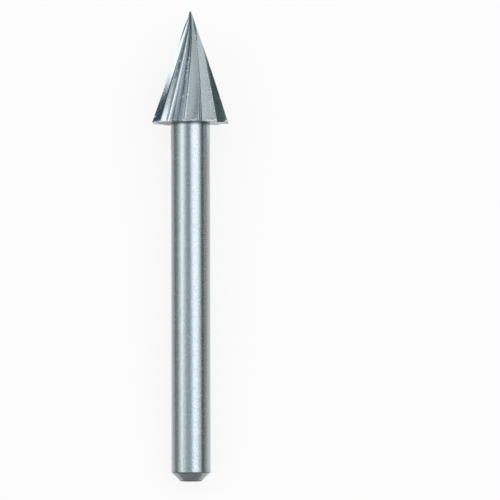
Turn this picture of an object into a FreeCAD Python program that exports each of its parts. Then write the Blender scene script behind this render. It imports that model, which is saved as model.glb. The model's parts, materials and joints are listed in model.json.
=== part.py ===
# Rotary carving bit, cut in one piece from a steel rod: a pointed cone head with spiral saw teeth
# on a plain round shank. Sizes are in millimetres and degrees.
#
# The bit is first built upright on its own axis, with the shank's end at z = 0 and the point up.
# It is then laid down as it comes to rest on the plane z = 0: on two corners of its toothed back rim
# and on the edge of the shank's chamfer, with the point towards +Y.
import FreeCAD, Part
import math
import os

# Shank, held by the tool's collet
SHANK_DIAMETER = 3.175
SHANK_LENGTH = 29.0
END_CHAMFER = 0.75

# Cone head, measured over the cutting edges
HEAD_DIAMETER = 6.4
HEAD_LENGTH = 9.1
POINT_DIAMETER = 0.12

# Teeth. The sizes are those at the back of the head, and all of them shrink with the cone: the depth
# of the root, how far it leads the cutting edge, its radius, and the hollow that a round grinding
# wheel leaves along the tooth's back. The cutting edges keep one angle to the straight lines that
# run up the cone.
TOOTH_COUNT = 12
FLUTE_DEPTH = 0.78
ROOT_LEAD = 0.27
ROOT_RADIUS = 0.29
BACK_HOLLOW = 0.03
SPIRAL_ANGLE = 5.0

# Sections that the spiral head is drawn through
HEAD_SECTIONS = 13

NODE = "carving_bit"

SHANK_RADIUS = SHANK_DIAMETER / 2
HEAD_RADIUS = HEAD_DIAMETER / 2
POINT_RADIUS = POINT_DIAMETER / 2
BIT_LENGTH = SHANK_LENGTH + HEAD_LENGTH
TOOTH_PITCH = 2 * math.pi / TOOTH_COUNT
CONE_HALF_ANGLE = math.atan2(HEAD_RADIUS - POINT_RADIUS, HEAD_LENGTH)

# Upright, the side that comes to lie below faces +Y, and two cutting edges straddle it
UNDERSIDE = math.pi / 2


def polar(radius, angle):
    return FreeCAD.Vector(radius * math.cos(angle), radius * math.sin(angle), 0)


def tooth_space(index):
    """A cutting edge, the root ahead of it and the next cutting edge, at the back of the head."""
    angle = UNDERSIDE + (index + 0.5) * TOOTH_PITCH
    edge = polar(HEAD_RADIUS, angle)
    root = polar(HEAD_RADIUS - FLUTE_DEPTH, angle) + polar(ROOT_LEAD, angle + math.pi / 2)
    next_edge = polar(HEAD_RADIUS, angle + TOOTH_PITCH)
    return edge, root, next_edge


def turned_inward(direction, angle):
    """A direction of the outline, turned towards the axis; the outline runs anticlockwise."""
    return FreeCAD.Rotation(FreeCAD.Vector(0, 0, 1), math.degrees(angle)).multVec(direction)


def rounded_space(edge, root, next_edge):
    """One tooth space as a flat cutting face, a root arc and a long, slightly hollow tooth back."""
    to_edge = (edge - root).normalize()
    across_back = next_edge - root
    to_back = turned_inward(across_back, 2 * math.atan2(2 * BACK_HOLLOW, across_back.Length)).normalize()
    half_corner = to_edge.getAngle(to_back) / 2
    setback = ROOT_RADIUS / math.tan(half_corner)
    face_end = root + to_edge * setback
    back_start = root + to_back * setback
    deepest = ROOT_RADIUS / math.sin(half_corner) - ROOT_RADIUS
    bottom = root + (to_edge + to_back).normalize() * deepest

    back_chord = next_edge - back_start
    hollow = back_chord.Length / 2 * math.tan(to_back.getAngle(back_chord) / 2)
    inward = turned_inward(back_chord, math.pi / 2).normalize()
    back_middle = (back_start + next_edge) / 2 + inward * hollow
    return [
        Part.LineSegment(edge, face_end).toShape(),
        Part.Arc(face_end, bottom, back_start).toShape(),
        Part.Arc(back_start, back_middle, next_edge).toShape(),
    ]


def toothed_outline():
    """Closed saw-tooth outline of the head at its back, on the plane z = 0."""
    sides = []
    for index in range(TOOTH_COUNT):
        sides += rounded_space(*tooth_space(index))
    return Part.Wire(sides)


def head_section(outline, climb):
    """The outline at a share of the way up from the head's back to its point.

    It shrinks evenly with height. It turns with the logarithm of its size, which is what
    keeps the spiral's angle the same all the way up a cone.
    """
    size = 1 - climb * (1 - POINT_RADIUS / HEAD_RADIUS)
    turn = math.tan(math.radians(SPIRAL_ANGLE)) / math.sin(CONE_HALF_ANGLE) * math.log(1 / size)
    placing = FreeCAD.Matrix()
    placing.scale(size, size, size)
    placing.rotateZ(turn)
    placing.move(FreeCAD.Vector(0, 0, SHANK_LENGTH + HEAD_LENGTH * climb))
    return outline.transformed(placing)


def toothed_head():
    """Spiral-toothed cone, from its flat back to the point."""
    outline = toothed_outline()
    climbs = [step / (HEAD_SECTIONS - 1) for step in range(HEAD_SECTIONS)]
    return Part.makeLoft([head_section(outline, climb) for climb in climbs], True, False)


def shank():
    """Round shank with a chamfered end, turned about its own axis."""
    corners = [
        (0, 0),
        (SHANK_RADIUS - END_CHAMFER, 0),
        (SHANK_RADIUS, END_CHAMFER),
        (SHANK_RADIUS, SHANK_LENGTH),
        (0, SHANK_LENGTH),
        (0, 0),
    ]
    profile = Part.makePolygon([FreeCAD.Vector(radius, 0, height) for radius, height in corners])
    return Part.Face(profile).revolve(FreeCAD.Vector(0, 0, 0), FreeCAD.Vector(0, 0, 1), 360)


def resting_place():
    """The rise of the point in degrees, and the placement that lays the upright bit down.

    The toothed rim's two lowest corners and the chamfer's edge all come to z = 0, and the
    bit is centred in plan.
    """
    rim_drop = HEAD_RADIUS * math.cos(TOOTH_PITCH / 2)
    rise = math.atan2(rim_drop - SHANK_RADIUS, SHANK_LENGTH - END_CHAMFER)
    end_height = SHANK_RADIUS * math.cos(rise) - END_CHAMFER * math.sin(rise)
    point_reach = BIT_LENGTH * math.cos(rise) + POINT_RADIUS * math.sin(rise)
    end_reach = (SHANK_RADIUS - END_CHAMFER) * math.sin(rise)
    placement = FreeCAD.Placement(
        FreeCAD.Vector(0, (end_reach - point_reach) / 2, end_height),
        FreeCAD.Rotation(FreeCAD.Vector(1, 0, 0), math.degrees(rise) - 90),
    )
    return math.degrees(rise), placement


def main():
    upright = toothed_head().fuse(shank()).removeSplitter().Solids[0]
    rise, placement = resting_place()
    bit = upright.transformed(placement.toMatrix())
    os.makedirs("parts", exist_ok=True)
    bit.exportStep(f"parts/{NODE}.step")

    box = bit.optimalBoundingBox(False, False)
    grip = placement.multVec(FreeCAD.Vector(0, 0, (END_CHAMFER + SHANK_LENGTH) / 2))
    kinds = sorted({type(face.Surface).__name__ for face in bit.Faces})
    print(f"{NODE}: {bit.ShapeType}, valid {bit.isValid()}, {len(bit.Faces)} faces of {kinds}")
    print(f"volume {bit.Volume:.2f} mm3, centre of mass {bit.CenterOfMass}")
    print(f"box x {box.XMin:.4f} {box.XMax:.4f} y {box.YMin:.4f} {box.YMax:.4f} z {box.ZMin:.4f} {box.ZMax:.4f}")
    print(f"point raised {rise:.4f} degrees, middle of the round wall {grip}")


main()
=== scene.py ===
# %% [markdown]
# # A carving bit of bare ground steel
# The real thing is one piece of high-speed steel: a rod with a pointed cone at one end, into which a
# grinding wheel has cut spiral saw teeth. Nothing on it is painted or plated, so its looks are all in
# the way that ground steel reflects the room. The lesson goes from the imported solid, which gives
# every size, to one fine mesh, its ground finishes, a floor, the camera, and the lamps and dark cards
# that the steel reflects.

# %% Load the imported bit
import json
import math
import random
from types import SimpleNamespace

import bmesh
import bpy
from mathutils import Matrix, Vector


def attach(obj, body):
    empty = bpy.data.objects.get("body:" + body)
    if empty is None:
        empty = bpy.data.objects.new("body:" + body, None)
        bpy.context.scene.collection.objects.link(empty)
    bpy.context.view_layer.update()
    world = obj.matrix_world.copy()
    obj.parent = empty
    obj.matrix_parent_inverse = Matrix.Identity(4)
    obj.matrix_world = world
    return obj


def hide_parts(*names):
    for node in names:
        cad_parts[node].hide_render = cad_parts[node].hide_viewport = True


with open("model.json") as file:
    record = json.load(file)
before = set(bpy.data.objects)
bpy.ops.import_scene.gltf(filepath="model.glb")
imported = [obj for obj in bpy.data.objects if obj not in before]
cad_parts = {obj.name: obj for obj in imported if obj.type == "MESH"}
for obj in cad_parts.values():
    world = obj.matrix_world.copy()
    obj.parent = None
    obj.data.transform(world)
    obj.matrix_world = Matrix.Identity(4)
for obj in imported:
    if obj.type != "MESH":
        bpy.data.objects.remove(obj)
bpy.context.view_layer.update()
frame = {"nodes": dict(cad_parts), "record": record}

# %% [markdown]
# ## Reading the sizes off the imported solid
# A mesh that stands for a solid has to lie exactly where the solid lies. So nothing is placed by eye:
# the record's mount gives the axis of the shank and its round wall, and the corners of the packed
# mesh give the rest, once each is written as a distance along that axis and a radius from it.

# %% Measure the axis, the shank and the head
NODE = "carving_bit"
MM = 0.001
NEAR = 0.002 * MM

grip = next(mount for mount in frame["record"]["mounts"] if mount["name"] == "shank")
grip_middle = Vector(grip["pos_m"])
axis = -Vector(grip["axis"]).normalized()
across = Vector((1.0, 0.0, 0.0))
facing = across.cross(axis)
shank_radius = grip["dims"]["r_mm"] * MM
wall_length = grip["dims"]["length_mm"] * MM


def along_and_radius(point):
    """Distance along the bit from the middle of the grip, and distance from its axis."""
    arm = point - grip_middle
    along = arm.dot(axis)
    return along, (arm - along * axis).length


corners = [vertex.co for vertex in frame["nodes"][NODE].data.vertices]
measured = [along_and_radius(corner) for corner in corners]
end_along = min(along for along, _ in measured)
tip_along = max(along for along, _ in measured)
chamfer_along = -wall_length / 2
back_along = wall_length / 2
head_length = tip_along - back_along
head_radius = max(radius for _, radius in measured)
end_radius = max(radius for along, radius in measured if along < end_along + NEAR)
point_radius = max(radius for along, radius in measured if along > tip_along - NEAR)
print(f"shank radius {shank_radius / MM:.4f} mm, head radius {head_radius / MM:.3f} mm")
print(f"whole length {(tip_along - end_along) / MM:.3f} mm, head {head_length / MM:.3f} mm")
print(f"end flat radius {end_radius / MM:.3f} mm, point radius {point_radius / MM:.4f} mm")

# %% Find the cutting edges on the back rim
SAME_EDGE = math.radians(1)


def azimuth_of(point):
    """Angle about the axis: 0 on the side that faces up, growing towards +X."""
    arm = point - grip_middle
    return math.atan2(arm.dot(across), arm.dot(facing))


rim_angles = sorted(
    azimuth_of(corner)
    for corner, (along, radius) in zip(corners, measured)
    if abs(along - back_along) < NEAR and radius > head_radius - NEAR
)
edge_angles = [
    angle
    for angle, before in zip(rim_angles, [rim_angles[-1] - 2 * math.pi] + rim_angles)
    if angle - before > SAME_EDGE
]
tooth_count = len(edge_angles)
tooth_pitch = 2 * math.pi / tooth_count
first_edge = edge_angles[0]
print(f"{tooth_count} cutting edges, the first at {math.degrees(first_edge):.2f} degrees")

# %% [markdown]
# ## One tooth, as points
# Seen along the axis, each tooth space is a cutting face, a round root and a long back, which the
# round wheel leaves slightly hollow and which climbs to the next cutting edge. A perfectly sharp
# corner has no width and so never catches the light, while a real ground edge always has a tiny land.
# Each edge here is therefore rounded by a hundredth of a millimetre, which shows as the fine bright
# line of a real cutter.

# %% Sizes and small steps for drawing a section
FLUTE_DEPTH = 0.78 * MM
ROOT_LEAD = 0.27 * MM
ROOT_RADIUS = 0.29 * MM
BACK_HOLLOW = 0.03 * MM
EDGE_RADIUS = 0.012 * MM
FACE_POINTS = 5
ROOT_POINTS = 11
BACK_POINTS = 20
EDGE_POINTS = 3


def polar(radius, angle):
    """A point of a section: x grows to the right and y upwards, with the angle from the y axis."""
    return Vector((radius * math.sin(angle), radius * math.cos(angle)))


def turned(direction, angle):
    """A direction of the section, turned clockwise: on a tooth's back, towards the axis."""
    return Vector((
        direction.x * math.cos(angle) + direction.y * math.sin(angle),
        direction.y * math.cos(angle) - direction.x * math.sin(angle),
    ))


def round_corner(before, corner, after, radius, count):
    """Points of the arc that rounds a corner, from the side of before to the side of after."""
    to_before = (before - corner).normalized()
    to_after = (after - corner).normalized()
    half = to_before.angle(to_after) / 2
    centre = corner + (to_before + to_after).normalized() * (radius / math.sin(half))
    start = corner + to_before * (radius / math.tan(half)) - centre
    end = corner + to_after * (radius / math.tan(half)) - centre
    sweep = start.angle_signed(end)
    return [centre + turned(start, sweep * step / (count - 1)) for step in range(count)]


def between(start, end, count, hollow=0.0):
    """Points inside a run, without its two ends; a hollow dips its middle towards the axis."""
    inward = turned(end - start, math.pi / 2).normalized()
    shares = [(step + 1) / (count + 1) for step in range(count)]
    return [start.lerp(end, share) + inward * (4 * hollow * share * (1 - share)) for share in shares]


print(f"flutes {FLUTE_DEPTH / MM:.2f} mm deep, edges rounded by {EDGE_RADIUS / MM:.3f} mm")

# %% Draw the tooth space at the back rim
def tooth_points():
    """One tooth, from its cutting edge over the root to just before the next edge."""
    edge = polar(head_radius, 0.0)
    root = polar(head_radius - FLUTE_DEPTH, 0.0) + Vector((ROOT_LEAD, 0.0))
    next_edge = polar(head_radius, tooth_pitch)
    last_root = polar(root.length, math.atan2(root.x, root.y) - tooth_pitch)
    next_root = polar(root.length, math.atan2(root.x, root.y) + tooth_pitch)
    across_back = next_edge - root
    to_back = turned(across_back.normalized(), 2 * math.atan2(2 * BACK_HOLLOW, across_back.length))
    land = round_corner(last_root, edge, root, EDGE_RADIUS, EDGE_POINTS)
    bottom = round_corner(edge, root, root + to_back, ROOT_RADIUS, ROOT_POINTS)
    next_land = round_corner(root, next_edge, next_root, EDGE_RADIUS, EDGE_POINTS)
    back_chord = next_land[0] - bottom[-1]
    hollow = back_chord.length / 2 * math.tan(to_back.angle(back_chord) / 2)
    face = between(land[-1], bottom[0], FACE_POINTS)
    back = between(bottom[-1], next_land[0], BACK_POINTS, hollow)
    return land + face + bottom + back


def toothed_ring():
    """The whole outline of the back rim, as (radius, azimuth) pairs in order of azimuth."""
    one_tooth = [(point.length, math.atan2(point.x, point.y)) for point in tooth_points()]
    return [
        (radius, angle + first_edge + tooth * tooth_pitch)
        for tooth in range(tooth_count)
        for radius, angle in one_tooth
    ]


rim = toothed_ring()
print(f"{len(rim)} points round the back rim, {len(rim) // tooth_count} on each tooth")

# %% [markdown]
# ## Winding the teeth up the cone
# The same outline shrinks evenly to the point. It turns with the logarithm of its size, because that
# keeps one angle between the cutting edges and the cone all the way up, as the grinder's slide does.
# The rings stand closer together near the rim, where the fine detail is, and towards the point.

# %% List the rings from the shank's end to the point
SPIRAL_ANGLE = math.radians(5.0)
HEAD_RINGS = 190
RING_CROWDING = 1.6
WALL_RINGS = 4
BREAK = 0.02 * MM

cone_half_angle = math.atan2(head_radius - point_radius, head_length)
turn_rate = math.tan(SPIRAL_ANGLE) / math.sin(cone_half_angle)
point_size = point_radius / head_radius


def round_ring(radius, along):
    """A round section with the azimuths of the toothed one, so that the two can be joined."""
    return [(radius, angle, along) for _, angle in rim]


def head_ring(size):
    """The toothed section where the cone has shrunk to a share of its size."""
    along = back_along + (1 - size) * head_radius / math.tan(cone_half_angle)
    turn = turn_rate * math.log(1 / size)
    return [(radius * size, angle + turn, along) for radius, angle in rim]


chamfer_rings = [
    round_ring(end_radius - BREAK, end_along),
    round_ring(end_radius + BREAK, end_along + BREAK),
    round_ring(shank_radius - BREAK, chamfer_along - BREAK),
    round_ring(shank_radius, chamfer_along + BREAK),
]
wall_rings = [
    round_ring(shank_radius, chamfer_along + (back_along - chamfer_along) * step / WALL_RINGS)
    for step in range(1, WALL_RINGS + 1)
]
smooth_rings = chamfer_rings + wall_rings
head_rings = [
    head_ring(point_size ** ((step / HEAD_RINGS) ** RING_CROWDING)) for step in range(HEAD_RINGS + 1)
]
print(f"{len(smooth_rings)} round rings and {len(head_rings)} toothed ones, {len(rim)} points each")

# %% [markdown]
# ## Burrs and nicks
# Where the wheel leaves the steel at the back rim it drags out tiny burrs, never the same twice, and
# hard steel edges pick up nicks. They are far smaller than a tooth but they catch the light, so they
# are real bumps of the mesh: each one moves the points around it, less and less with distance. A fixed
# seed for the dice gives the same marks each time that the script runs.

# %% List the burrs and nicks
top_edge = max(angle for angle in edge_angles if angle < 0)
mark_dice = random.Random(5)

# Each mark: distance up from the head's back in millimetres, teeth on from the edge at the top of the
# bit, reach and height in millimetres. These three are the nicks that show best.
marks = [(5.20, 0.08, 0.065, 0.030), (3.46, 0.00, 0.050, 0.012), (5.90, -0.70, 0.050, 0.010)]


def scatter(count, up, teeth, reach, height):
    """Add marks at random inside the ranges of each of a mark's four numbers."""
    for _ in range(count):
        ranges = (up, teeth, reach, height)
        marks.append(tuple(mark_dice.uniform(low, high) for low, high in ranges))


# Fine dents along the top edge, and a rubbed patch beside the next edge, near the point, which the finish
# lightens as a painted glint
scatter(12, (3.4, 5.0), (-0.01, 0.03), (0.025, 0.045), (0.001, 0.006))
scatter(16, (6.1, 7.5), (1.00, 1.35), (0.030, 0.060), (0.001, 0.004))
# On every tooth, burrs along the back rim and nicks up the cutting edge
for tooth in range(tooth_count):
    scatter(9, (-0.02, 0.13), (tooth + 0.05, tooth + 0.98), (0.030, 0.065), (0.005, 0.020))
    scatter(3, (0.3, 6.0), (tooth - 0.02, tooth + 0.02), (0.025, 0.045), (-0.006, 0.006))


def spiral_azimuth(up, teeth):
    """The azimuth at a height up the head, some teeth on from the top edge, along the spiral."""
    size = 1 - up * MM * math.tan(cone_half_angle) / head_radius
    return top_edge + teeth * tooth_pitch + turn_rate * math.log(1 / size)


placed_marks = [(up, spiral_azimuth(up, teeth), reach, height) for up, teeth, reach, height in marks]
print(f"{len(marks)} burrs and nicks")

# %% [markdown]
# ## Painted glints and a painted shade
# Two things on the head follow its shape and not its finish. The burrs and nicks are broken steel,
# which is matt, and their colour is lightened to a painted glint. A strip behind the top edge gets a
# painted shade. A node can't know where they are, so each point of the mesh keeps two numbers from 0
# to 1, how strong its painted glint is and how strong its painted shade. The finish reads them later on.

# %% Move the points near each mark, and note the painted glint and the painted shade
MARK_REACHES = 2.5
# Spread of the painted glint round a mark, then the width and fade of the painted shade behind the top edge
GLINT_SPREAD = 1.6
EDGE_SHADE_WIDTH = 0.26
EDGE_SHADE_FADE = 0.16


def arc_between(start, end, radius):
    """Length in millimetres of the shorter way round from one azimuth to another, with its sign."""
    return ((end - start + math.pi) % (2 * math.pi) - math.pi) * radius / MM


def dressed_ring(ring):
    """A ring of the head after the marks near it, with the painted glint and the painted shade of each
    point.
    """
    height_up = (ring[0][2] - back_along) / MM
    near = [mark for mark in placed_marks if abs(height_up - mark[0]) < MARK_REACHES * mark[2]]
    edge_azimuth = spiral_azimuth(height_up, 0)
    moved, fresh_glint, edge_shade = [], [], []
    for radius, angle, along in ring:
        brightest_glint = 0.0
        for up, turn, reach, height in near:
            aside = arc_between(turn, angle, radius)
            weight = math.exp(-((height_up - up) ** 2 + aside ** 2) / reach ** 2)
            radius += height * MM * weight
            # Near a burr or nick the colour is lightened as a painted glint
            brightest_glint = max(brightest_glint, min(1.0, GLINT_SPREAD * weight))
        behind = arc_between(angle, edge_azimuth, radius)
        moved.append((radius, angle, along))
        fresh_glint.append(brightest_glint)
        # Just behind the top edge the colour is darkened as a painted shade
        edge_shade.append(max(0.0, min(1.0, (EDGE_SHADE_WIDTH - behind) / EDGE_SHADE_FADE)) if behind > 0 else 0.0)
    return moved, fresh_glint, edge_shade


dressed_rings = [dressed_ring(ring) for ring in head_rings]
rings = smooth_rings + [moved for moved, _, _ in dressed_rings]
clean_points = [0.0] * len(rim) * len(smooth_rings)
glint_shares = clean_points + [share for _, fresh_glint, _ in dressed_rings for share in fresh_glint]
edge_shading = clean_points + [share for _, _, edge_shade in dressed_rings for share in edge_shade]
print(f"{sum(share > 0.3 for share in glint_shares)} points of fresh steel")
print(f"{sum(share > 0.3 for share in edge_shading)} points under oil")

# %% [markdown]
# ## The mesh
# Every ring has the same number of points, so one loop can join each ring to the next with
# four-sided faces. The step from the last ring of the shank to the first one of the head is the flat
# back of the head. A cap closes each end, and the result is one watertight skin.

# %% Join the rings into one skin
SHARP = math.radians(15)


def place(radius, angle, along):
    """A point of a ring, in the frame that the whole scene shares."""
    return grip_middle + axis * along + radius * (math.sin(angle) * across + math.cos(angle) * facing)


def as_object(mesh, name):
    """Turn a finished bmesh into an object of the scene."""
    data = bpy.data.meshes.new(name)
    mesh.to_mesh(data)
    mesh.free()
    piece = bpy.data.objects.new(name, data)
    bpy.context.scene.collection.objects.link(piece)
    return piece


def skin(rings, name):
    """One closed mesh through all the rings."""
    mesh = bmesh.new()
    loops = [[mesh.verts.new(place(*corner)) for corner in ring] for ring in rings]
    count = len(loops[0])
    for lower, upper in zip(loops, loops[1:]):
        for i in range(count):
            j = (i + 1) % count
            mesh.faces.new((lower[i], upper[i], upper[j], lower[j]))
    mesh.faces.new(loops[0])
    mesh.faces.new(reversed(loops[-1]))
    bmesh.ops.recalc_face_normals(mesh, faces=mesh.faces)
    return as_object(mesh, name)


bit = skin(rings, "ground_bit")
for face in bit.data.polygons:
    face.use_smooth = True
bit.data.set_sharp_from_angle(angle=SHARP)
for name, shares in (("fresh_glint", glint_shares), ("painted_shade", edge_shading)):
    bit.data.attributes.new(name, "FLOAT", "POINT").data.foreach_set("value", shares)
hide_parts(NODE)
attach(bit, "root")
print(f"{bit.name}: {len(bit.data.vertices)} points, {len(bit.data.polygons)} faces")

# %% [markdown]
# ## Small helpers for shader nodes
# A finish is a chain of nodes. A few short helpers keep the chains readable: one adds a node, one
# fills a socket with a number or with another node's output, and the others add a whole step at
# once. A node hides the sockets that its settings don't use, so a step fills only the live ones.

# %% Add nodes, fill sockets and calculate
def add(tree, kind, **settings):
    """A new node of a tree, with its settings."""
    node = tree.nodes.new(kind)
    for setting, value in settings.items():
        setattr(node, setting, value)
    return node


def fill(tree, socket, source):
    """Put a number, a vector or another node's output on a socket."""
    if isinstance(source, bpy.types.NodeSocket):
        tree.links.new(source, socket)
    else:
        socket.default_value = source


def live(sockets):
    """The sockets that a node uses with its present settings."""
    return [socket for socket in sockets if socket.enabled]


def step(tree, kind, *sources, **settings):
    """A node with its live inputs filled in order; gives its first live output."""
    node = add(tree, kind, **settings)
    for socket, source in zip(live(node.inputs), sources):
        fill(tree, socket, source)
    return live(node.outputs)[0]


def calc(tree, operation, *sources):
    """One step of arithmetic on numbers."""
    return step(tree, "ShaderNodeMath", *sources, operation=operation)


def calc_vector(tree, operation, *sources):
    """One step of arithmetic on vectors or colours."""
    return step(tree, "ShaderNodeVectorMath", *sources, operation=operation)


def mix_colors(tree, share, first, second):
    """The first colour where the share is 0, the second where it is 1."""
    return step(tree, "ShaderNodeMix", share, first, second, data_type="RGBA")


def blend_between(tree, value, low, high):
    """0 below low, 1 above high, and a soft step between; low may be the larger one."""
    return step(tree, "ShaderNodeMapRange", value, low, high, interpolation_type="SMOOTHSTEP")


print("node helpers ready")

# %% Make groups with named sockets
FLOAT, VECTOR, COLOR = "NodeSocketFloat", "NodeSocketVector", "NodeSocketColor"


def new_group(name, inputs, outputs):
    """An empty shader node group with its named sockets, and its two end nodes."""
    group = bpy.data.node_groups.new(name, "ShaderNodeTree")
    for label, kind, value in inputs:
        socket = group.interface.new_socket(label, in_out="INPUT", socket_type=kind)
        socket.default_value = value
    for label, kind in outputs:
        group.interface.new_socket(label, in_out="OUTPUT", socket_type=kind)
    return group, add(group, "NodeGroupInput"), add(group, "NodeGroupOutput")


def use_group(tree, group, **sources):
    """A group placed in a tree, with its named inputs filled."""
    node = add(tree, "ShaderNodeGroup", node_tree=group)
    for label, source in sources.items():
        fill(tree, node.inputs[label], source)
    return node


print("group helpers ready")

# %% [markdown]
# ## Directions on the bit
# Every mark that a grinding wheel leaves follows the way the wheel ran: round the shank, and along
# each flute. So the finishes need to know where a point lies on the bit itself. This group turns the
# point's place into lengths along and round the bit in millimetres. For the flutes it also unwinds
# the spiral and stretches the cone back to a rod, so that a straight streak there runs up the flute.

# %% Build the group of directions
def directions_group():
    group, start, end = new_group("bit_directions", [], [
        ("Along", FLOAT), ("Share", FLOAT), ("Round", VECTOR), ("Flute", VECTOR),
        ("Tooth", FLOAT), ("Place", FLOAT),
    ])
    here = add(group, "ShaderNodeTexCoord").outputs["Object"]
    from_grip = calc_vector(group, "SUBTRACT", here, tuple(grip_middle))
    arm = calc_vector(group, "SCALE", from_grip, 1 / MM)
    right, up, along = (
        calc_vector(group, "DOT_PRODUCT", arm, tuple(way)) for way in (across, facing, axis)
    )

    # The cone's size at this height, and how far out the point lies in it
    height = calc(group, "SUBTRACT", along, back_along / MM)
    shrink = calc(group, "MULTIPLY", height, math.tan(cone_half_angle) * MM / head_radius)
    size = calc(group, "MAXIMUM", calc(group, "SUBTRACT", 1.0, shrink), point_size)
    radius_squared = calc(group, "MULTIPLY_ADD", up, up, calc(group, "MULTIPLY", right, right))
    radius = calc(group, "SQRT", radius_squared)
    share = calc(group, "DIVIDE", radius, calc(group, "MULTIPLY", size, head_radius / MM))

    # The same point on a straight, unwound rod
    spiral_turn = calc(group, "MULTIPLY", calc(group, "LOGARITHM", size, math.e), turn_rate)
    unwound = calc(group, "ADD", calc(group, "ARCTAN2", right, up), spiral_turn)
    reach = calc(group, "MULTIPLY", share, head_radius / MM)
    flat_x = calc(group, "MULTIPLY", calc(group, "SINE", unwound), reach)
    flat_y = calc(group, "MULTIPLY", calc(group, "COSINE", unwound), reach)

    # A number of its own for each tooth, and the place from one cutting edge to the next
    count = calc(group, "DIVIDE", calc(group, "SUBTRACT", unwound, first_edge), tooth_pitch)
    tooth = calc(group, "FLOORED_MODULO", calc(group, "FLOOR", count), float(tooth_count))
    tooth_number = step(group, "ShaderNodeTexWhiteNoise", tooth, noise_dimensions="1D")

    results = {
        "Along": along,
        "Share": share,
        "Round": step(group, "ShaderNodeCombineXYZ", right, up, along),
        "Flute": step(group, "ShaderNodeCombineXYZ", flat_x, flat_y, along),
        "Tooth": tooth_number,
        "Place": calc(group, "FRACT", count),
    }
    for label, result in results.items():
        fill(group, end.inputs[label], result)
    return group


directions = directions_group()
print("directions:", [item.name for item in directions.interface.items_tree])

# %% [markdown]
# ## Grinding marks and speckle
# A wheel is a mass of hard grains, and each one draws a scratch. Seen close, the marks are long, thin
# and uneven, finer than a hair and broken here and there. A noise squeezed in one direction and
# stretched in the other gives exactly that. Two sizes are laid over each other, and an even finer
# speckle stands for the pits and the grain of the steel.

# %% Build the group of marks
WIDE_SCALE, WIDE_DETAIL, WIDE_SHARE = 1.0, 2.0, 0.6
THIN_SCALE, THIN_DETAIL, THIN_SHARE = 3.1, 1.0, 0.4
SPECKLE_DETAIL = 1.5


def noise(tree, vector, scale, detail):
    """Soft noise from 0 to 1."""
    node = add(tree, "ShaderNodeTexNoise")
    for label, source in (("Vector", vector), ("Scale", scale), ("Detail", detail)):
        fill(tree, node.inputs[label], source)
    return node.outputs["Fac"]


def marks_group():
    group, start, end = new_group("grinding_marks", [
        ("Vector", VECTOR, (0.0, 0.0, 0.0)), ("Squeeze", VECTOR, (1.0, 1.0, 1.0)),
        ("Grain", FLOAT, 0.1), ("Speckle", FLOAT, 0.5),
    ], [("Marks", FLOAT), ("Speckle", FLOAT), ("Height", FLOAT)])
    given = start.outputs
    squeezed = calc_vector(group, "MULTIPLY", given["Vector"], given["Squeeze"])
    wide = noise(group, squeezed, WIDE_SCALE, WIDE_DETAIL)
    thin = noise(group, squeezed, THIN_SCALE, THIN_DETAIL)
    both = calc(group, "MULTIPLY_ADD", thin, THIN_SHARE, calc(group, "MULTIPLY", wide, WIDE_SHARE))
    speckle = noise(group, given["Vector"], calc(group, "DIVIDE", 1.0, given["Grain"]), SPECKLE_DETAIL)
    fill(group, end.inputs["Marks"], both)
    fill(group, end.inputs["Speckle"], speckle)
    fill(group, end.inputs["Height"], calc(group, "MULTIPLY_ADD", speckle, given["Speckle"], both))
    return group


grinding_marks = marks_group()
print("marks:", [item.name for item in grinding_marks.interface.items_tree])

# %% [markdown]
# ## The tone of bare steel
# Steel has one colour, a cool grey that mirrors about half of the light. What changes over it is how
# polished it is, and some painted light: scratches are a little lighter and rougher, a painted shade
# darkens corners, creases and the strip behind the top edge, the edges and faces that meet the work
# are lightened partly by wear and partly as a painted highlight, and burrs and nicks get a painted
# glint. This group turns such masks into a colour and a roughness, with the clean steel and the steel
# in painted shade as inputs.

# %% Build the group of steel tones
CLEAN_STEEL = (0.44, 0.50, 0.53, 1.0)
# After the clean steel: the colour of painted shade, and the colour of a painted glint
SHADE_STEEL = (0.14, 0.17, 0.18, 1.0)
GLINT_STEEL = (0.90, 0.93, 0.95, 1.0)
SPECKLE_WEIGHT = 2.5
WEAR_SHEEN_GAIN = 0.25
MARK_ROUGHNESS = 0.25
GLINT_ROUGHNESS = 0.4
SMOOTHEST = 0.05


def tone_group():
    group, start, end = new_group("steel_tone", [
        ("Clean", COLOR, CLEAN_STEEL), ("Stain", COLOR, SHADE_STEEL),
        ("Marks", FLOAT, 0.5), ("Speckle", FLOAT, 0.5), ("Shade_mask", FLOAT, 0.0), ("Wear_and_sheen", FLOAT, 0.0),
        ("Fresh_glint", FLOAT, 0.0), ("Contrast", FLOAT, 0.3), ("Roughness", FLOAT, 0.2),
    ], [("Color", COLOR), ("Roughness", FLOAT)])
    given = start.outputs
    varied = calc(group, "MULTIPLY_ADD", given["Speckle"], SPECKLE_WEIGHT, given["Marks"])
    off_middle = calc(group, "SUBTRACT", varied, (1 + SPECKLE_WEIGHT) / 2)
    swing = calc(group, "MULTIPLY", off_middle, given["Contrast"])
    # Lightening for wear, partly a painted highlight
    wear_sheen = calc(group, "MULTIPLY", given["Wear_and_sheen"], WEAR_SHEEN_GAIN)
    level = calc(group, "ADD", calc(group, "ADD", swing, 1.0), wear_sheen)
    # The painted shade darkens the colour towards the dark tone
    shade_mix = mix_colors(group, given["Shade_mask"], given["Clean"], given["Stain"])
    shaded = calc_vector(group, "SCALE", shade_mix, level)
    rough = calc(group, "MULTIPLY_ADD", swing, MARK_ROUGHNESS, given["Roughness"])
    rough = calc(group, "MULTIPLY_ADD", given["Fresh_glint"], GLINT_ROUGHNESS, rough)
    # A painted glint turns the colour almost white
    fill(group, end.inputs["Color"], mix_colors(group, given["Fresh_glint"], shaded, GLINT_STEEL))
    fill(group, end.inputs["Roughness"], calc(group, "MAXIMUM", rough, SMOOTHEST))
    return group


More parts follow.
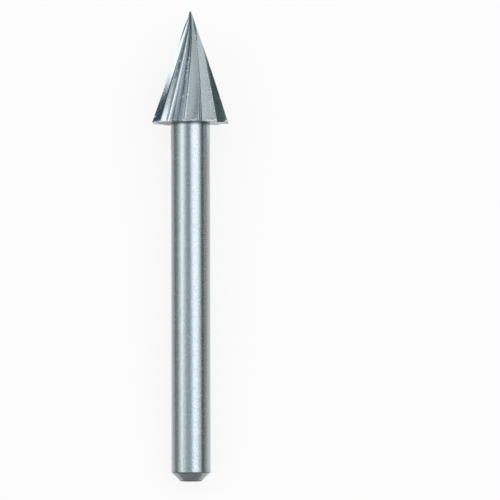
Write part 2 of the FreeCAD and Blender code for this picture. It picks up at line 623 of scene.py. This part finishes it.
steel_tone = tone_group()
print("tones:", [item.name for item in steel_tone.interface.items_tree])

# %% [markdown]
# ## Three finishes on one piece
# The bit is one mesh, but it was finished in three ways, so it carries three materials and each face
# gets one of them by where it lies. The metal shader itself stays in each material: only colours,
# roughness and bump heights come out of the groups. The bump is a few thousandths of a millimetre at
# most, as real marks are, and only frays the edges of the reflections.

# %% Set up a bare steel with its own marks
def steel(name, follows, squeeze, grain, speckle, mark_height, **tones):
    """A bare steel whose marks follow one of the directions, with the parts a finish adds to."""
    material = bpy.data.materials.new(name)
    material.use_nodes = True
    tree = material.node_tree
    shader = tree.nodes["Principled BSDF"]
    shader.inputs["Metallic"].default_value = 1.0
    where = use_group(tree, directions).outputs
    pattern = use_group(
        tree, grinding_marks, Vector=where[follows], Squeeze=squeeze, Grain=grain, Speckle=speckle
    ).outputs
    tone = use_group(tree, steel_tone, Marks=pattern["Marks"], Speckle=pattern["Speckle"], **tones)
    bump = add(tree, "ShaderNodeBump")
    bump.inputs["Distance"].default_value = mark_height * MM
    fill(tree, bump.inputs["Height"], pattern["Height"])
    fill(tree, shader.inputs["Base Color"], tone.outputs["Color"])
    fill(tree, shader.inputs["Roughness"], tone.outputs["Roughness"])
    fill(tree, shader.inputs["Normal"], bump.outputs["Normal"])
    return SimpleNamespace(
        material=material, tree=tree, where=where, marks=pattern, tone=tone.inputs, bump=bump.inputs
    )


print("bare steel ready")

# %% [markdown]
# ### The shank
# A centreless grinder spins the rod against a wide wheel, so the marks run round the shank and are
# very fine and even. It is the smoothest large face, and the lamps show in it as long soft stripes.
# A painted shade darkens the shank in the corner under the head.

# %% Ground shank
CORNER_SHADE = 0.27


def shank_finish():
    finish = steel(
        "ground_shank", "Round", squeeze=(1.6, 1.6, 14.0), grain=0.10, speckle=2.0,
        mark_height=0.0020, Clean=CLEAN_STEEL, Stain=(0.16, 0.19, 0.20, 1.0), Contrast=0.30,
        Roughness=0.23,
    )
    corner = back_along / MM
    # Painted shade in the corner under the head
    painted_shade = blend_between(finish.tree, finish.where["Along"], corner - CORNER_SHADE, corner)
    fill(finish.tree, finish.tone["Shade_mask"], painted_shade)
    return finish.material


shank_steel = shank_finish()
print(shank_steel.name)

# %% [markdown]
# ### The flutes
# A thin wheel runs along each flute, so its marks run from the rim to the point. The wheel also
# trembles a little against the long thin cone, which leaves faint bands across the backs of the
# teeth. Each flute was a pass of its own, so neighbours differ a little. The cutting edges and, a
# little less, the cutting faces are lightened, partly by wear and partly as a painted highlight. The
# burrs and nicks get a painted glint, and a painted shade darkens the strip behind the top edge.

# %% Ground flutes
BAND_SQUEEZE = (0.8, 0.8, 3.4)
BAND_DEPTH = 1.6
BAND_TONE = 0.5
TOOTH_SPREAD = 0.20
EDGE_RUB = (0.975, 0.996)
FACE_RUB = (0.32, 0.20)
FACE_WEAR_SHEEN = 0.45


def flute_finish():
    finish = steel(
        "ground_flutes", "Flute", squeeze=(9.0, 9.0, 0.9), grain=0.11, speckle=1.5,
        mark_height=0.0014, Clean=CLEAN_STEEL, Stain=SHADE_STEEL, Contrast=0.31, Roughness=0.15,
    )
    tree, where = finish.tree, finish.where
    bands = use_group(tree, grinding_marks, Vector=where["Flute"], Squeeze=BAND_SQUEEZE).outputs["Marks"]
    fill(tree, finish.bump["Height"], calc(tree, "MULTIPLY_ADD", bands, BAND_DEPTH, finish.marks["Height"]))

    # The tone of the marks and bands, moved up or down for each tooth
    marks_part = calc(tree, "MULTIPLY", finish.marks["Marks"], 1 - BAND_TONE)
    both = calc(tree, "MULTIPLY_ADD", bands, BAND_TONE, marks_part)
    lowered = calc(tree, "SUBTRACT", both, TOOTH_SPREAD / 2)
    fill(tree, finish.tone["Marks"], calc(tree, "MULTIPLY_ADD", where["Tooth"], TOOTH_SPREAD, lowered))

    # Rubbed edges and faces, lightened partly as a painted highlight, then the painted glint and painted
    # shade that the points of the mesh know
    edge_wear_highlight = blend_between(tree, where["Share"], *EDGE_RUB)
    face_wear_sheen = calc(tree, "MULTIPLY", blend_between(tree, where["Place"], *FACE_RUB), FACE_WEAR_SHEEN)
    fill(tree, finish.tone["Wear_and_sheen"], calc(tree, "MAXIMUM", edge_wear_highlight, face_wear_sheen))
    for label, name in (("Fresh_glint", "fresh_glint"), ("Shade_mask", "painted_shade")):
        attribute = add(tree, "ShaderNodeAttribute", attribute_name=name)
        fill(tree, finish.tone[label], attribute.outputs["Fac"])
    return finish.material


fluted_steel = flute_finish()
print(fluted_steel.name)

# %% [markdown]
# ### The turned ends
# The chamfer, the end of the shank and the flat back of the head come straight from the lathe. Their
# marks are rings round the axis, and they are rougher and duller than what the wheels have ground.
# A painted shade darkens the narrow bands beside the chamfer's two edges.

# %% Turned faces
SHADE_BELOW_WALL = (0.10, 0.02)
SHADE_ABOVE_END = (0.14, 0.04)
END_HALF = (0.1, 0.0)


def turned_finish():
    finish = steel(
        "turned_faces", "Round", squeeze=(1.2, 1.2, 9.0), grain=0.12, speckle=1.0,
        mark_height=0.0030, Clean=(0.38, 0.41, 0.43, 1.0), Stain=(0.16, 0.18, 0.19, 1.0),
        Contrast=0.50, Roughness=0.36,
    )
    tree, along = finish.tree, finish.where["Along"]
    # Painted shade beside the chamfer's upper and lower edges
    upper = blend_between(tree, along, *(chamfer_along / MM - gap for gap in SHADE_BELOW_WALL))
    lower = blend_between(tree, along, *(end_along / MM + gap for gap in SHADE_ABOVE_END))
    on_end = blend_between(tree, along, *END_HALF)
    fill(tree, finish.tone["Shade_mask"], calc(tree, "MULTIPLY", on_end, calc(tree, "MAXIMUM", upper, lower)))
    return finish.material


turned_steel = turned_finish()
print(turned_steel.name)

# %% Give each face its finish
SHANK, FLUTES, TURNED = range(3)
FLAT_WITHIN = math.radians(2)

for material in (shank_steel, fluted_steel, turned_steel):
    bit.data.materials.append(material)


def finish_of(face):
    """Which of the three finishes a face has, by where it lies."""
    along, _ = along_and_radius(face.center)
    flat = abs(face.normal.dot(axis)) > math.cos(FLAT_WITHIN)
    if flat or along < chamfer_along:
        return TURNED
    return FLUTES if along > back_along else SHANK


for face in bit.data.polygons:
    face.material_index = finish_of(face)
counts = [sum(face.material_index == kind for face in bit.data.polygons) for kind in range(3)]
print("faces of shank, flutes and turned ends:", counts)

# %% [markdown]
# ## Floor
# The bit lies on a plain white floor, which also gives the picture its white ground. The floor is far
# larger than the bit, because polished steel mirrors it out to the horizon. A part of its white is
# glow that only the camera and the reflections see, so the bit's shadow still darkens the rest.

# %% Lay the floor
FLOOR_SIZE = 6.0
FLOOR_WHITE = 0.98
FLOOR_GLOW = 0.82


def seen_rays(tree):
    """1 for a ray that shows a thing, straight, in a mirror or through glass, and 0 for light."""
    rays = add(tree, "ShaderNodeLightPath").outputs
    shown = calc(tree, "ADD", rays["Is Camera Ray"], rays["Is Glossy Ray"])
    return calc(tree, "MINIMUM", calc(tree, "ADD", shown, rays["Is Transmission Ray"]), 1.0)


def card_mesh(name, width, length):
    """A flat rectangle that faces along its own Z axis, for the floor and the studio's cards."""
    mesh = bmesh.new()
    bmesh.ops.create_grid(mesh, x_segments=1, y_segments=1, size=0.5)
    bmesh.ops.scale(mesh, vec=(width, length, 1.0), verts=mesh.verts)
    card = as_object(mesh, name)
    return card


white_floor = card_mesh("floor", FLOOR_SIZE, FLOOR_SIZE)
floor_paint = bpy.data.materials.new("white_floor")
floor_paint.use_nodes = True
paint_tree = floor_paint.node_tree
floor_shader = paint_tree.nodes["Principled BSDF"]
floor_shader.inputs["Base Color"].default_value = (FLOOR_WHITE, FLOOR_WHITE, FLOOR_WHITE, 1.0)
floor_shader.inputs["Roughness"].default_value = 1.0
floor_shader.inputs["Specular IOR Level"].default_value = 0.0
plain_white = add(paint_tree, "ShaderNodeEmission")
glow = calc(paint_tree, "MULTIPLY", seen_rays(paint_tree), FLOOR_GLOW)
mixed_floor = step(
    paint_tree, "ShaderNodeMixShader", glow, floor_shader.outputs["BSDF"], plain_white.outputs["Emission"]
)
fill(paint_tree, paint_tree.nodes["Material Output"].inputs["Surface"], mixed_floor)
white_floor.data.materials.append(floor_paint)
print("floor", FLOOR_SIZE, "m")

# %% [markdown]
# ## Camera
# The photograph looks at the side of the bit from close by, with the bit left of the middle. The bit
# lies down here, so the camera looks down on it, from a little less than two degrees round the axis,
# where the cutting edges come to the places that they have in the photograph. It stands over the
# lower part of the shank, because the underside of the head just shows and the end of the shank
# doesn't. It is aimed at the middle of the picture, which comes from where the back of the head and
# the axis have to appear.

# %% Place the camera
PICTURE = 500
PIXELS_PER_MM = 12.34
AXIS_PIXEL_X = 190.65
BACK_PIXEL_Y = 122.8
CAMERA_PIXEL_Y = 382
CAMERA_DISTANCE = 0.266
LEAN = math.radians(0.13)
VIEW_TURN = math.radians(1.7)
SENSOR = 36.0

head_back = grip_middle + axis * back_along
view_up = facing * math.cos(VIEW_TURN) + across * math.sin(VIEW_TURN)
view_right = across * math.cos(VIEW_TURN) - facing * math.sin(VIEW_TURN)


def on_picture(pixel_x, pixel_y):
    """The point beside the axis, at the axis's height, that shows at a pixel of the picture."""
    right = (pixel_x - AXIS_PIXEL_X) / PIXELS_PER_MM * MM
    down = (pixel_y - BACK_PIXEL_Y) / PIXELS_PER_MM * MM
    return head_back + view_right * right - axis * down


aim = on_picture(PICTURE / 2, PICTURE / 2)
station = on_picture(PICTURE / 2, CAMERA_PIXEL_Y) + view_up * CAMERA_DISTANCE
sight = station - aim
camera_data = bpy.data.cameras.new("camera")
camera_data.sensor_width = SENSOR
camera_data.lens = SENSOR * sight.length / (PICTURE / PIXELS_PER_MM * MM)
camera_data.clip_start = 0.01
camera = bpy.data.objects.new("camera", camera_data)
bpy.context.scene.collection.objects.link(camera)
camera.location = station
upright = (axis * math.cos(LEAN) + view_right * math.sin(LEAN)).normalized()
side = upright.cross(sight).normalized()
looking = Matrix((side, sight.normalized().cross(side), sight.normalized())).transposed()
camera.rotation_mode = "QUATERNION"
camera.rotation_quaternion = looking.to_quaternion()
bpy.context.scene.camera = camera
print(f"camera at {[round(part, 4) for part in camera.location]} m, lens {camera_data.lens:.1f} mm")

# %% [markdown]
# ## The room's light
# Even light from all sides lights the floor and fills the shadows. What the steel mirrors of the room
# is a shade brighter than what it gives as light, so that the two softboxes can add their own part
# and a colour still shows about as it is written.

# %% Fill the room with light
ROOM_LIGHT = 0.72
ROOM_SEEN = 0.96

world = bpy.data.worlds.new("studio")
bpy.context.scene.world = world
world.use_nodes = True
room = world.node_tree
strength = calc(room, "MULTIPLY_ADD", seen_rays(room), ROOM_SEEN - ROOM_LIGHT, ROOM_LIGHT)
room.nodes["Background"].inputs["Color"].default_value = (1.0, 1.0, 1.0, 1.0)
fill(room, room.nodes["Background"].inputs["Strength"], strength)
print("room light", ROOM_LIGHT, "seen as", ROOM_SEEN)

# %% [markdown]
# ## Places in the studio
# Bare steel is photographed by what stands round it, so each lamp and card has to stand where a
# certain side of the bit mirrors it. A place is given as seen from the head of the bit: how far it is
# from straight up, and which way it lies, from the point of the bit over its right side. Then come
# half of the width and half of the length that it fills, and how far it is rolled. All are angles in
# degrees, so that the distance can change without a new look.

# %% Turn a thing in the studio to face the head
def hang(thing, distance, zenith, bearing, roll):
    """Put a lamp or a card at its place in the studio, turned to face the head."""
    steep, way, turn = (math.radians(angle) for angle in (zenith, bearing, roll))
    sideways = math.sin(way) * view_right + math.cos(way) * axis
    outward = math.sin(steep) * sideways + math.cos(steep) * view_up
    level = math.cos(way) * view_right - math.sin(way) * axis
    rising = outward.cross(level)
    width_way = math.cos(turn) * level + math.sin(turn) * rising
    length_way = math.cos(turn) * rising - math.sin(turn) * level
    turned_to_bit = Matrix((width_way, length_way, outward)).transposed().to_4x4()
    thing.matrix_world = Matrix.Translation(head_back + outward * distance) @ turned_to_bit


def span(distance, half_angle):
    """The size in metres that fills twice an angle at a distance."""
    return 2 * distance * math.tan(math.radians(half_angle))


print(f"the head's back, from which the studio is seen, is at {[round(part, 4) for part in head_back]} m")

# %% [markdown]
# ## Softboxes
# A wide softbox on each side draws the bright stripes of the shank and the bright faces of the head.

# %% Hang the softboxes
SOFTBOX_DISTANCE = 1.05

# Name, zenith, bearing, half width, half length, roll, brightness
SOFTBOXES = [
    ("right_softbox", 27.4, 73.2, 17.0, 21.5, 14.3, 0.99),
    ("left_softbox", 37.1, 296.3, 30.7, 7.4, -33.6, 0.99),
]


def softbox(name, zenith, bearing, half_width, half_length, roll, brightness):
    """A rectangular lamp with an even glow, whatever its size."""
    data = bpy.data.lights.new(name, "AREA")
    data.shape = "RECTANGLE"
    data.size = span(SOFTBOX_DISTANCE, half_width)
    data.size_y = span(SOFTBOX_DISTANCE, half_length)
    data.energy = brightness * math.pi * data.size * data.size_y
    lamp = bpy.data.objects.new(name, data)
    bpy.context.scene.collection.objects.link(lamp)
    hang(lamp, SOFTBOX_DISTANCE, zenith, bearing, roll)
    lamp.visible_camera = False
    print(f"{name}: {data.size:.2f} x {data.size_y:.2f} m, {data.energy:.2f} W")


for row in SOFTBOXES:
    softbox(*row)

# %% [markdown]
# ## Dark cards
# Dark cards between and below the softboxes draw the dark stripes and faces, without which the metal
# would look like white plastic. They only show in reflections and cast no shadow. Each is painted in
# one plain tone that glows by itself, so the lamps don't change it.

# %% Hang the dark cards
CARD_DISTANCE = 0.95

# Name, zenith, bearing, half width, half length, roll, colour
DARK_CARDS = [
    ("card_low_right", 73.7, 78.6, 40.5, 12.3, 8.8, (0.10, 0.15, 0.14)),
    ("card_low_left", 85.0, 240.3, 48.2, 15.7, 10.9, (0.29, 0.33, 0.31)),
    ("card_shank_end", 30.3, 191.3, 23.6, 34.8, 12.1, (0.56, 0.62, 0.65)),
    ("card_high_left", 28.6, 309.0, 20.9, 8.8, -70.3, (0.00, 0.02, 0.05)),
    ("card_point_left", 75.8, 338.8, 28.2, 34.2, 49.0, (0.28, 0.33, 0.35)),
    ("card_point", 58.0, 349.5, 19.9, 21.0, 14.6, (0.65, 0.67, 0.64)),
    ("card_back_left", 67.9, 226.4, 12.3, 15.5, -51.0, (0.62, 0.62, 0.62)),
    ("card_right_edge", 61.5, 50.0, 8.0, 5.5, 0.0, (0.10, 0.14, 0.13)),
    ("card_end", 84.0, 190.0, 38.0, 17.0, 0.0, (0.22, 0.25, 0.26)),
]


def only_mirrored(card, color):
    """Paint a card one plain tone, and let only reflections see it."""
    paint = bpy.data.materials.new(card.name)
    paint.use_nodes = True
    tree = paint.node_tree
    tone = step(tree, "ShaderNodeEmission", (*color, 1.0))
    fill(tree, tree.nodes["Material Output"].inputs["Surface"], tone)
    card.data.materials.append(paint)
    card.visible_camera = card.visible_diffuse = card.visible_shadow = False
    card.visible_transmission = card.visible_volume_scatter = False


def dark_card(name, zenith, bearing, half_width, half_length, roll, color):
    """A card that stands in the studio, turned to face the head."""
    card = card_mesh(name, span(CARD_DISTANCE, half_width), span(CARD_DISTANCE, half_length))
    hang(card, CARD_DISTANCE, zenith, bearing, roll)
    only_mirrored(card, color)


for row in DARK_CARDS:
    dark_card(*row)
print(f"{len(DARK_CARDS)} dark cards hung")

# %% [markdown]
# ## Strips of card on the floor
# The sides of the bit that slope under it mirror the floor close by. Strips of grey card lie there,
# side by side so that no two share a place. Like the dark cards they glow in a fixed tone of their own
# that only reflections see, so they paint darker reflections of the floor beside and under the bit.

# %% Lay the strips
STRIP_LIFT = 0.0003

# Name, left, right, low and high edge in millimetres from the head's back, colour
FLOOR_STRIPS = [
    ("strip_right_near", 4.3, 9.2, -32.0, -0.8, (0.85, 0.76, 0.69)),
    ("strip_left_near", -10.8, -4.4, -32.0, 0.7, (0.67, 0.66, 0.62)),
    ("strip_left_head", -10.8, -3.6, 0.7, 18.0, (0.12, 0.14, 0.15)),
    ("strip_left_under", -3.5, -1.3, -1.8, 0.0, (0.50, 0.48, 0.46)),
    ("strip_right", 9.2, 94.0, -123.0, 13.9, (0.43, 0.41, 0.38)),
    ("strip_left", -115.0, -10.8, -55.0, 160.0, (0.20, 0.24, 0.22)),
    ("strip_end", -10.8, 9.2, -150.0, -32.0, (0.25, 0.27, 0.28)),
]


def floor_strip(name, left, right, low, high, color):
    """A strip of card that lies just above the floor."""
    card = card_mesh(name, (right - left) * MM, (high - low) * MM)
    middle = head_back + across * ((left + right) / 2 * MM) + axis * ((low + high) / 2 * MM)
    card.location = (middle.x, middle.y, STRIP_LIFT)
    only_mirrored(card, color)


for row in FLOOR_STRIPS:
    floor_strip(*row)
print(f"{len(FLOOR_STRIPS)} strips laid")

# %% [markdown]
# ## Colours as they are
# The Standard view shows each colour as it was made, with no film curve on top, so the finishes can
# be judged by their own numbers.

# %% Set the view
bpy.context.scene.view_settings.view_transform = "Standard"
